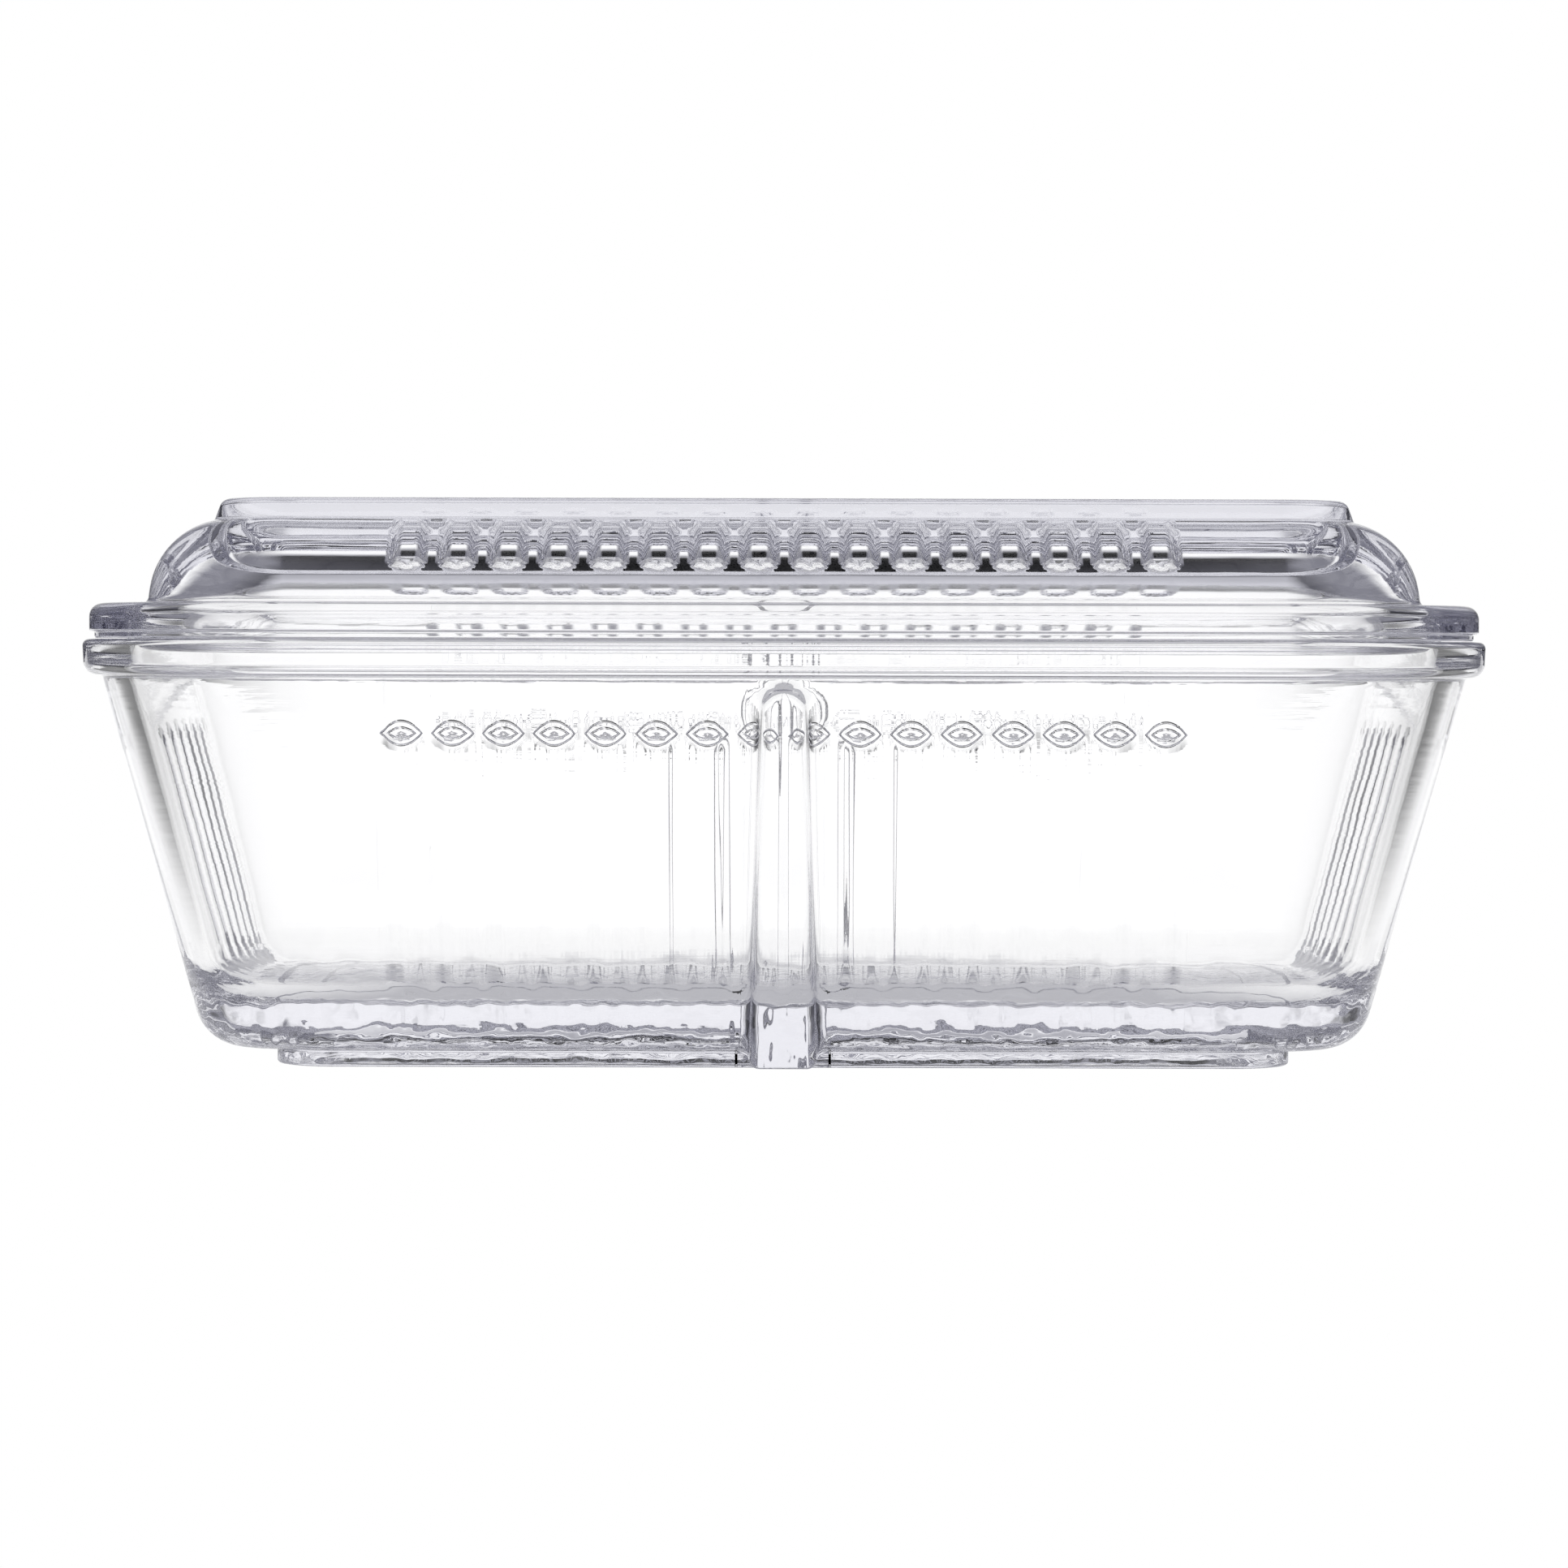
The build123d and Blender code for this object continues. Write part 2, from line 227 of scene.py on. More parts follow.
# ==== plan stations ===========================================================
class Plan:
    """Stations round a rounded rectangle. A ring of half length a, half width b and corner radius r
    puts each station at core * (a - r, b - r) + normal * r."""

    def __init__(self, front, end, corner_steps):
        core, normal, along, side = [], [], [], []
        angles = np.linspace(0, 90, corner_steps + 1)[1:-1]

        def straight(points, fixed, outward, name, lengthwise):
            for t in points:
                core.append((t / CORE_X, fixed) if lengthwise else (fixed, t / CORE_Y))
                normal.append(outward)
                along.append(t)
                side.append(name)

        def corner(sign_x, sign_y, first_angle):
            for angle in np.radians(angles + first_angle):
                core.append((sign_x, sign_y))
                normal.append((math.cos(angle), math.sin(angle)))
                along.append(0.0)
                side.append("corner")

        straight(front, -1, (0, -1), "front", True)
        corner(1, -1, -90)
        straight(end, 1, (1, 0), "right", False)
        corner(1, 1, 0)
        straight(front[::-1], 1, (0, 1), "back", True)
        corner(-1, 1, 90)
        straight(end[::-1], -1, (-1, 0), "left", False)
        corner(-1, -1, 180)
        self.core = np.array(core, float)
        self.normal = np.array(normal, float)
        self.along = np.array(along, float)
        self.side = np.array(side)
        self.count = len(core)

    def ring(self, a, b, r):
        return self.core * (a - r, b - r) + self.normal * r


def mirrored(points):
    """Distances on one side of the middle, repeated on the other side."""
    points = np.array(points, float)
    return np.concatenate([-points[::-1], points])


def flute_stations(first, last, steps):
    """Stations across the flutes from number first to number last, counted from the middle."""
    local = FLUTE_PITCH / 2 * np.sin(np.linspace(-1, 1, steps + 1)[:-1] * math.pi / 2)
    return [(k + 0.5) * FLUTE_PITCH + t for k in range(first, last) for t in local]


# ==== sections ================================================================
class Section:
    """A closed section, as rings in order. Each ring has its size, its height, the direction that
    points into the glass, and a name for the surface that it lies on."""

    def __init__(self):
        self.rings = []

    def ring(self, a, b, r, z, name=""):
        self.rings.append((a, b, max(r, 0.0), z, name))

    def offset(self, d, z, name=""):
        """A ring at distance d outside the core."""
        self.ring(CORE_X + d, CORE_Y + d, d, z, name)

    def offsets(self, points, name=""):
        for d, z in points:
            self.offset(d, z, name)

    def cap(self, a, b, r, z, steps, outward, name=""):
        """A flat middle: the ring shrinks to a line, or grows from it."""
        shares = [k / steps for k in range(steps)]
        for share in (shares if outward else shares[::-1]):
            self.ring(a - b + share * b, share * b, share * r, z, name)


def arc(centre_d, centre_z, radius, start, end, steps):
    """Points round an arc, angles in degrees: 0 points outward, 90 up."""
    return [
        (centre_d + radius * math.cos(math.radians(t)), centre_z + radius * math.sin(math.radians(t)))
        for t in np.linspace(start, end, steps + 1)
    ]


def run(start, end, steps):
    """Evenly spaced points of a straight stretch, without its two ends."""
    shares = np.linspace(0, 1, steps + 1)[1:-1]
    return [(start[0] + (end[0] - start[0]) * t, start[1] + (end[1] - start[1]) * t) for t in shares]


def fan(corner, before, after, radius, steps):
    """A round of the given radius at a corner of the section, between the points before and after."""
    corner, before, after = np.array(corner), np.array(before), np.array(after)
    to_before = (before - corner) / np.linalg.norm(before - corner)
    to_after = (after - corner) / np.linalg.norm(after - corner)
    half = math.acos(np.clip(to_before @ to_after, -1, 1)) / 2
    middle = (to_before + to_after) / np.linalg.norm(to_before + to_after)
    centre = corner + middle * radius / math.sin(half)
    first = corner + to_before * radius / math.tan(half) - centre
    last = corner + to_after * radius / math.tan(half) - centre
    turn = math.acos(np.clip(first @ last / radius ** 2, -1, 1))
    points = []
    for t in np.linspace(0, 1, steps + 1):
        spoke = (first * math.sin((1 - t) * turn) + last * math.sin(t * turn)) / math.sin(turn)
        points.append(tuple(centre + spoke))
    return points


# ==== pressing the details in =================================================
def soft_floor(value, softness):
    """value where it is positive, 0 where it is negative, with the corner rounded."""
    return (value + np.sqrt(value ** 2 + softness ** 2)) / 2


def tub_flute_cut(across, inside):
    """Depth of a round groove, across it and inside the line through the corners of its end. A
    sloping facet closes the end; its outline bulges past the corners."""
    groove = np.sqrt(FLUTE_RADIUS ** 2 - np.clip(across, -FLUTE_HALF, FLUTE_HALF) ** 2)
    groove -= FLUTE_RADIUS - FLUTE_DEPTH
    outline = TUB_FLUTE_TIP * (1 - (across / FLUTE_HALF) ** 2)
    facet = TUB_FACET_SLOPE * (inside + outline)
    lower = (groove + facet - np.sqrt((groove - facet) ** 2 + FLUTE_SOFT ** 2 / 4)) / 2
    return soft_floor(lower, FLUTE_SOFT / 2) - FLUTE_SOFT / 4


def lid_flute_cut(across, inside):
    """Depth of a flat-bottomed groove, with a flat facet that slopes up to a half-oval end."""
    groove = FLUTE_DEPTH * (1 - smooth(np.abs(across), LID_FLUTE_FLAT, FLUTE_HALF))
    facet = LID_FACET_SLOPE * (inside + LID_FLUTE_TIP)
    outline = LID_FLUTE_TIP * (1 - (across / FLUTE_HALF) ** 2)
    return np.minimum(groove, np.maximum(facet, 0)) * smooth(inside + outline, 0, LID_FLUTE_EDGE)


def nearest_flute(along, count):
    """Distance across from the nearest of the flutes."""
    slot = np.clip(np.round(along / FLUTE_PITCH - 0.5 + count / 2), 0, count - 1)
    return along - (slot + 0.5 - count / 2) * FLUTE_PITCH


def smooth(value, low, high):
    t = np.clip((value - low) / (high - low), 0, 1)
    return t * t * (3 - 2 * t)


def pillar_rise(distance, root):
    """Share of the pillar's full height at a distance outside its outline."""
    inside = np.sqrt(1 - (1 + np.clip(distance, -PILLAR_EDGE, 0) / PILLAR_EDGE) ** 2)
    outside = 1 - np.sqrt(1 - (1 - np.clip(distance / root, 0, 1)) ** 2)
    return np.where(distance < 0, 0.5 + 0.5 * inside, 0.5 * outside)


def pillar_half_width(z):
    share = np.clip(z / (PILLAR_TOP - PILLAR_TOP_HALF), 0, 1)
    return PILLAR_FOOT_HALF + (PILLAR_TOP_HALF - PILLAR_FOOT_HALF) * share


# ==== making a mesh ===========================================================
def loft(name, positions):
    """A closed mesh from rings of stations. Stations that coincide become one vertex, and the faces
    that shrink to a line are left out."""
    rings, count = positions.shape[:2]
    index = np.arange(rings * count).reshape(rings, count)
    after = np.roll(index, -1, axis=1)
    quads = np.stack([index[:-1], after[:-1], after[1:], index[1:]], axis=-1).reshape(-1, 4)
    points, weld = np.unique(np.round(positions.reshape(-1, 3), 5), axis=0, return_inverse=True)
    quads = weld.reshape(-1)[quads]
    faces = []
    for quad in quads.tolist():
        corners = [v for k, v in enumerate(quad) if v != quad[k - 1]]
        if len(set(corners)) == len(corners) and len(corners) > 2:
            faces.append(corners)
    mesh = bpy.data.meshes.new(name)
    mesh.from_pydata((points * MM).tolist(), [], faces)
    mesh.validate()
    mesh.update()
    # large flat faces outweigh the small round ones beside them, so they stay flat
    mesh.shade_smooth()
    mesh.normals_split_custom_set_from_vertices(area_normals(mesh).tolist())
    piece = bpy.data.objects.new(name, mesh)
    bpy.context.scene.collection.objects.link(piece)
    return piece


def area_normals(mesh):
    """A normal for each vertex, in which each face round it counts by its area."""
    faces = mesh.polygons
    areas = np.zeros(len(faces))
    directions = np.zeros(len(faces) * 3)
    corner_counts = np.zeros(len(faces), int)
    corner_vertices = np.zeros(len(mesh.loops), int)
    faces.foreach_get("area", areas)
    faces.foreach_get("normal", directions)
    faces.foreach_get("loop_total", corner_counts)
    mesh.loops.foreach_get("vertex_index", corner_vertices)
    pull = directions.reshape(-1, 3) * areas[:, None]
    normals = np.zeros((len(mesh.vertices), 3))
    np.add.at(normals, corner_vertices, np.repeat(pull, corner_counts, axis=0))
    return normals / np.maximum(np.linalg.norm(normals, axis=1), 1e-20)[:, None]


# ==== tub =====================================================================
def tub_wall_out(z):
    """The outer wall's distance from the core."""
    return NECK_OUT - (NECK_TOP - z) * LEAN


def tub_wall_in(z):
    """The cavity's distance from the core."""
    return NECK_OUT - WALL - (NECK_TOP - z) * LEAN


def tub_section():
    section = Section()
    a, b, r = FOOT
    # underside: recess, ring to stand on, edge of the foot
    inner = FOOT_BAND + FOOT_RECESS * math.tan(RECESS_SLOPE)
    outer = FOOT_BAND - RECESS_EDGE
    bevel = FOOT_BAND + RECESS_EDGE
    section.cap(a - inner, b - inner, r / 2, FOOT_RECESS, 3, outward=True, name="recess")
    section.ring(a - inner, b - inner, r / 2, FOOT_RECESS, "recess")
    section.ring(a - bevel, b - bevel, r / 2, RECESS_EDGE, "recess")
    section.ring(a - outer, b - outer, r / 2, 0.0, "stand")
    section.ring(a - FOOT_BAND / 2, b - FOOT_BAND / 2, r / 2 + 1, 0.0, "stand")
    for t in np.radians(np.linspace(-90, 0, 6)):
        inset = FOOT_EDGE * (1 - math.cos(t))
        section.ring(a - inset, b - inset, r - inset, FOOT_EDGE * (1 + math.sin(t)), "foot")
    for t in np.radians(np.linspace(180, 90, 5)):
        out = FOOT_EDGE * (1 + math.cos(t))
        section.ring(a + out, b + out, r + out, BODY_UNDER - FOOT_EDGE * (1 - math.sin(t)), "foot")
    # flat under the body, its round edge and the leaning wall
    body_sharp = tub_wall_out(BODY_UNDER)
    flat_end = body_sharp - BODY_EDGE / math.tan((math.pi / 2 + DRAFT) / 2)
    for t in (0.25, 0.5, 0.75):
        under_body = (CORE_X + flat_end, CORE_Y + flat_end, flat_end)
        ring = [p + (q - p) * t for p, q in zip(FOOT, under_body)]
        section.ring(*ring, BODY_UNDER, "under")
    section.offsets(
        arc(flat_end, BODY_UNDER + BODY_EDGE, BODY_EDGE, -90, -math.degrees(DRAFT), 14), "edge"
    )
    # the rings are close together round the domes of the pillars
    wall_heights = list(np.linspace(11, 44, 10)) + list(np.arange(44.4, 51.4, FINE_STEP))
    section.offsets([(tub_wall_out(z), z) for z in wall_heights], "wall")
    # neck and rim bead
    bead_top = HALF_LENGTH - CORE_X
    bead_low = bead_top - (RIM_TOP - RIM_UNDER) * math.tan(RIM_TAPER)
    neck = (tub_wall_out(RIM_UNDER), RIM_UNDER)
    corner_low = (bead_low, RIM_UNDER)
    corner_top = (bead_top, RIM_TOP)
    mouth = (tub_wall_in(RIM_TOP), RIM_TOP)
    outside_below = (tub_wall_out(WALL_MIDDLE), WALL_MIDDLE)
    inside_below = (tub_wall_in(WALL_MIDDLE), WALL_MIDDLE)
    section.offsets(fan(neck, outside_below, corner_low, NECK_ROUND, 4), "bead")
    section.offsets(fan(corner_low, neck, corner_top, RIM_EDGE_UNDER, 8), "bead")
    section.offsets(fan(corner_top, corner_low, mouth, RIM_EDGE_TOP, 6), "bead")
    section.offsets(run((bead_top - RIM_EDGE_TOP, RIM_TOP), (mouth[0] + MOUTH_EDGE, RIM_TOP), 3), "bead")
    section.offsets(fan(mouth, corner_top, inside_below, MOUTH_EDGE, 5), "inside")
    # inside wall, with rings close together at the flutes' upper ends
    heights = [53.0, 50.0, 48.0] + list(np.arange(46.6, 40.0, -0.3)) + list(np.linspace(39.5, 18.5, 8))
    section.offsets([(tub_wall_in(z), z) for z in heights], "inside")
    # round edge of the floor, floor
    floor_sharp = tub_wall_in(FLOOR_TOP)
    floor_start = floor_sharp - FLOOR_EDGE / math.tan((math.pi / 2 + DRAFT) / 2)
    section.offsets(
        arc(floor_start, FLOOR_TOP + FLOOR_EDGE, FLOOR_EDGE, -math.degrees(DRAFT), -90, 14), "inside"
    )
    floor_steps = np.arange(FINE_STEP, floor_start, FINE_STEP)
    section.offsets([(floor_start - t, FLOOR_TOP) for t in floor_steps], "inside")
    last = section.rings[-1]
    section.cap(last[0], last[1], last[2], FLOOR_TOP, 5, outward=False, name="floor")
    return section


def lid_section():
    section = Section()
    shoulder_d = SHOULDER_OUT - SHOULDER_RADIUS
    shoulder_z = SHOULDER_TOP - SHOULDER_RADIUS
    # top of the raised table, and its side down to the shoulder
    table_side = (TABLE_OUT, TABLE_ROOT)
    table_top = (TABLE_OUT - (LID_TOP - TABLE_ROOT) * math.tan(TABLE_TAPER), LID_TOP)
    middle = (0.0, LID_TOP)
    edge = fan(table_top, middle, table_side, TABLE_EDGE, 7)
    first = edge[0][0]
    section.cap(CORE_X + first, CORE_Y + first, first, LID_TOP, 5, outward=True, name="top")
    section.offsets(edge, "top")
    meet = shoulder_meeting(shoulder_d, shoulder_z)
    shoulder_next = on_arc(shoulder_d, shoulder_z, SHOULDER_RADIUS, meet - math.radians(12))
    meeting = on_arc(shoulder_d, shoulder_z, SHOULDER_RADIUS, meet)
    section.offsets(fan(meeting, table_top, shoulder_next, TABLE_FOOT_EDGE, 4), "shoulder")
    start = math.degrees(meet) - 5
    section.offsets(arc(shoulder_d, shoulder_z, SHOULDER_RADIUS, start, 6, 16), "shoulder")
    # flange
    root = (SHOULDER_OUT, FLANGE_TOP)
    flange_corner = (FLANGE_OUT, FLANGE_TOP)
    flange_low = (FLANGE_OUT, FLANGE_BOTTOM)
    lip_high = (LIP_OUT, FLANGE_BOTTOM)
    lip_low = (LIP_OUT, LIP_BOTTOM)
    guide_out = tub_wall_in(RIM_TOP) - GUIDE_CLEARANCE
    guide_high = (guide_out, LIP_BOTTOM)
    guide_low = (guide_out, GUIDE_BOTTOM)
    hollow_out = SHOULDER_OUT - LID_WALL
    hollow_d = hollow_out - CEILING_ROUND
    hollow_z = CEILING - CEILING_ROUND
    mouth = (hollow_out, GUIDE_BOTTOM)
    hollow = (hollow_out, hollow_z)
    section.offsets(fan(root, (SHOULDER_OUT, LID_TOP), flange_corner, SHOULDER_ROOT, 5), "flange")
    section.offsets(fan(flange_corner, root, flange_low, FLANGE_EDGE_TOP, 7), "flange")
    section.offsets(fan(flange_low, flange_corner, lip_high, FLANGE_EDGE_UNDER, 3), "flange")
    section.offsets(fan(lip_high, flange_low, lip_low, LIP_ROOT, 2), "flange")
    section.offsets(fan(lip_low, lip_high, guide_high, FLANGE_EDGE_UNDER, 3), "flange")
    section.offsets(fan(guide_high, lip_low, guide_low, FLANGE_EDGE_UNDER, 3), "flange")
    section.offsets(fan(guide_low, guide_high, mouth, GUIDE_EDGE, 4), "flange")
    section.offsets(fan(mouth, guide_low, hollow, GUIDE_EDGE, 4), "inside")
    # hollow: wall, round corner and ceiling, with rings closest where the flutes end
    section.offsets(run((hollow_out, GUIDE_BOTTOM + GUIDE_EDGE), hollow, 3), "inside")
    section.offsets(arc(hollow_d, hollow_z, CEILING_ROUND, 0, 15, 2), "inside")
    section.offsets(arc(hollow_d, hollow_z, CEILING_ROUND, 18, 50, 12), "inside")
    section.offsets(arc(hollow_d, hollow_z, CEILING_ROUND, 51, 72, 22), "inside")
    section.offsets(arc(hollow_d, hollow_z, CEILING_ROUND, 74, 90, 8), "inside")
    ceiling_steps = np.arange(FINE_STEP, hollow_d, FINE_STEP)
    section.offsets([(hollow_d - t, CEILING) for t in ceiling_steps], "inside")
    last = section.rings[-1]
    section.cap(last[0], last[1], last[2], CEILING, 5, outward=False, name="ceiling")
    return section


def on_arc(d, z, radius, angle):
    return (d + radius * math.cos(angle), z + radius * math.sin(angle))


def shoulder_meeting(d, z):
    """Angle round the shoulder at which it meets the side of the raised table."""
    angles = np.radians(np.linspace(60, 89, 400))
    side = TABLE_OUT - (z + SHOULDER_RADIUS * np.sin(angles) - TABLE_ROOT) * math.tan(TABLE_TAPER)
    return angles[np.argmin(np.abs(d + SHOULDER_RADIUS * np.cos(angles) - side))]


def section_facts(section):
    """Ring heights, distances along the section, and the direction into the glass at each ring."""
    points = np.array([(ring[1] - CORE_Y, ring[3]) for ring in section.rings])
    steps = np.linalg.norm(np.diff(points, axis=0), axis=1)
    travelled = np.concatenate([[0], np.cumsum(steps)])
    tangent = np.gradient(points, axis=0)
    tangent /= np.maximum(np.linalg.norm(tangent, axis=1), 1e-9)[:, None]
    names = np.array([ring[4] for ring in section.rings])
    return points, travelled, tangent, names


def place(plan, section):
    """Positions of every station on every ring."""
    positions = np.zeros((len(section.rings), plan.count, 3))
    for k, (a, b, r, z, _) in enumerate(section.rings):
        positions[k, :, :2] = plan.ring(a, b, r)
        positions[k, :, 2] = z
    return positions


def press_flutes(positions, plan, rings, into, inside, sides, count, flute_cut, share=1.0):
    """Cuts grooves into the glass on the named sides, to a share of their full depth."""
    on_side = np.isin(plan.side, sides)
    across = nearest_flute(plan.along[on_side], count)
    for k, direction, within in zip(rings, into, inside):
        cut = share * np.maximum(flute_cut(across, within), 0)
        if cut.max() < 1e-3:
            continue
        outward = plan.normal[on_side]
        positions[k, on_side, :2] += outward * (cut * direction[0])[:, None]
        positions[k, on_side, 2] += cut * direction[1]


def press_tub_flutes(positions, plan, section):
    points, travelled, tangent, names = section_facts(section)
    rings = np.flatnonzero(names == "inside")
    top = np.interp(-TUB_FLUTE_TOP, -points[rings, 1], travelled[rings])
    low = np.interp(-TUB_FLUTE_LOW, -points[rings, 1], travelled[rings])
    inside = np.minimum(travelled[rings] - top, low - travelled[rings])
    # going down the wall and in along the floor, the glass is on the left of the path
    into = np.stack([-tangent[rings, 1], tangent[rings, 0]], axis=1)
    into *= np.where(into[:, :1] - into[:, 1:] < 0, -1, 1)
    end_share = END_FLUTE_DEPTH / FLUTE_DEPTH
    sides, ends = ["front", "back"], ["left", "right"]
    press_flutes(positions, plan, rings, into, inside, sides, SIDE_FLUTES, tub_flute_cut)
    press_flutes(positions, plan, rings, into, inside, ends, END_FLUTES, tub_flute_cut, end_share)


def press_lid_flutes(positions, plan, section):
    points, travelled, tangent, names = section_facts(section)
    rings = np.flatnonzero(names == "inside")
    low_z = CEILING - CEILING_ROUND * (1 - math.sin(LID_FLUTE_LOW))
    low = np.interp(low_z, points[rings, 1], travelled[rings])
    ceiling = travelled[rings[np.argmax(points[rings, 1] >= CEILING - 1e-6)]]
    fading = LID_FLUTE_FADE * (ceiling - travelled[rings])
    inside = np.minimum(travelled[rings] - low, fading)
    into = np.stack([tangent[rings, 1], -tangent[rings, 0]], axis=1)
    into *= np.where(into[:, :1] + into[:, 1:] < 0, -1, 1)
    press_flutes(positions, plan, rings, into, inside, ["front", "back"], SIDE_FLUTES, lid_flute_cut)


# ---- pillar ------------------------------------------------------------------
def pillar_zone_stations(half_width):
    """Stations on one side of the middle, gathered where the pillar's flank is."""
    face = np.linspace(0, half_width - PILLAR_EDGE, 6)[:-1]
    face[0] = PILLAR_MIDDLE
    inner = half_width - PILLAR_EDGE + PILLAR_EDGE * np.sin(np.radians(np.linspace(0, 90, 7)))
    outer = half_width + PILLAR_ROOT * (1 - np.cos(np.radians(np.linspace(0, 90, 7)[1:])))
    rest = np.linspace(half_width + PILLAR_ROOT, PILLAR_ZONE, 5)[1:-1]
    return np.concatenate([face, inner, outer, rest])


def raise_pillars(positions, plan, section):
    points, _, _, names = section_facts(section)
    rings = np.flatnonzero(np.isin(names, ["foot", "under", "edge", "wall"]))
    targets = pillar_targets(points, names, rings)
    dome = PILLAR_TOP - PILLAR_TOP_HALF
    for side, sign in (("front", -1), ("back", 1)):
        zone = np.flatnonzero((plan.side == side) & (np.abs(plan.along) < PILLAR_ZONE - 1e-6))
        order = np.argsort(np.abs(plan.along[zone]), kind="stable")
        for k, target in zip(rings, targets):
            height = target[1]
            half_width = pillar_half_width(height)
            spots = pillar_zone_stations(half_width)
            x = np.zeros(len(zone))
            x[order] = np.repeat(spots, 2)
            x *= np.sign(plan.along[zone])
            above = max(height - dome, 0)
            distance = np.hypot(x, above) - half_width
            halo = PILLAR_HALO * smooth(height, *HALO_RISE) * (1 - smooth(height, *HALO_FALL))
            rise = pillar_rise(distance, PILLAR_ROOT + halo)
            base = positions[k, zone].copy()
            base[:, 0] = x
            goal = base.copy()
            goal[:, 1] = sign * (CORE_Y + target[0])
            goal[:, 2] = height
            positions[k, zone] = base + (goal - base) * rise[:, None]


def pillar_targets(points, names, rings):
    """Where the pillar's middle is at each ring: down its face, round its toe and in to the foot."""
    def face(z):
        return tub_wall_out(z) + PILLAR_PROUD / math.cos(DRAFT)

    edge_rings = [k for k in rings if names[k] == "edge"]
    under_rings = [k for k in rings if names[k] == "under"]
    toe_corner = (face(TOE_BOTTOM), TOE_BOTTOM)
    toe_round = fan(toe_corner, (face(WALL_MIDDLE), WALL_MIDDLE), (0, TOE_BOTTOM), TOE_EDGE, TOE_STEPS)
    edge_top = BODY_UNDER + BODY_EDGE
    straight = run(toe_round[0], (face(edge_top), edge_top), len(edge_rings) - TOE_STEPS)
    down = (toe_round[::-1] + straight)[:len(edge_rings)]
    targets = []
    foot_out = FOOT[1] - CORE_Y
    for k in rings:
        d, z = points[k]
        if names[k] == "wall":
            targets.append((face(z), z))
        elif names[k] == "edge":
            targets.append(down[edge_rings.index(k)])
        elif names[k] == "under":
            share = (under_rings.index(k) + 1) / (len(under_rings) + 1)
            targets.append((foot_out + (toe_round[-1][0] - foot_out) * share, TOE_BOTTOM))
        else:
            targets.append((d, min(z, TOE_BOTTOM)))
    return targets


# ==== materials ===============================================================
class Nodes:
    """Short ways to add shader nodes to a material or a world, and to link them."""

    def __init__(self, owner):
        owner.use_nodes = True
        self.nodes = owner.node_tree.nodes
        self.links = owner.node_tree.links

    def add(self, kind, *values):
        """A new node, with its first inputs fed in order."""
        node = self.nodes.new("ShaderNode" + kind)
        for socket, value in zip(node.inputs, values):
            self.feed(socket, value)
        return node

    def feed(self, socket, value):
        """Links a node's output to the socket, or sets the socket to a plain value."""
        if isinstance(value, bpy.types.NodeSocket):
            self.links.new(value, socket)
        else:
            socket.default_value = value

    def math(self, operation, *values):
        node = self.add("Math", *values)
        node.operation = operation
        return node.outputs[0]

    def total(self, *values):
        """The sum of two or more values."""
        result = values[0]
        for value in values[1:]:
            result = self.math("ADD", result, value)
        return result

    def product(self, *values):
        """The product of two or more values."""
        result = values[0]
        for value in values[1:]:
            result = self.math("MULTIPLY", result, value)
        return result

    def vector(self, operation, *values):
        node = self.add("VectorMath", *values)
        node.operation = operation
        return node.outputs["Value" if operation in ("LENGTH", "DOT_PRODUCT") else "Vector"]

    def step(self, value, low, high, bottom=0.0, top=1.0):
        """Rises smoothly from the bottom value at low to the top value at high. If low is the
        larger of the two, it falls instead."""
        if low > high:
            low, high, bottom, top = high, low, top, bottom
        node = self.add("MapRange")
        node.interpolation_type = "SMOOTHSTEP"
        self.feed(node.inputs["Value"], value)
        self.feed(node.inputs["From Min"], low)
        self.feed(node.inputs["From Max"], high)
        self.feed(node.inputs["To Min"], bottom)
        self.feed(node.inputs["To Max"], top)
        return node.outputs[0]

    def noise(self, position, size, detail):
        """Noise from about -0.5 to 0.5, with patches of the given size."""
        node = self.add("TexNoise")
        self.feed(node.inputs["Vector"], position)
        self.feed(node.inputs["Scale"], 1 / size)
        self.feed(node.inputs["Detail"], detail)
        return self.math("SUBTRACT", node.outputs[0], 0.5)

    def ramp(self, value, stops):
        """A colour that changes evenly between the stops."""
        node = self.add("ValToRGB", value)
        elements = node.color_ramp.elements
        while len(elements) < len(stops):
            elements.new(0.5)
        for element, (position, color) in zip(elements, stops):
            element.position = position
            element.color = (*color, 1)
        return node.outputs[0]

    def seen_plain(self, shader, kind, output):
        """The shader for all light, and an even white for what the camera sees directly."""
        plain = self.add(kind, (1, 1, 1, 1))
        path = self.add("LightPath")
        choice = self.add("MixShader", path.outputs["Is Camera Ray"], shader, plain.outputs[0])
        self.links.new(choice.outputs[0], self.nodes[output].inputs["Surface"])


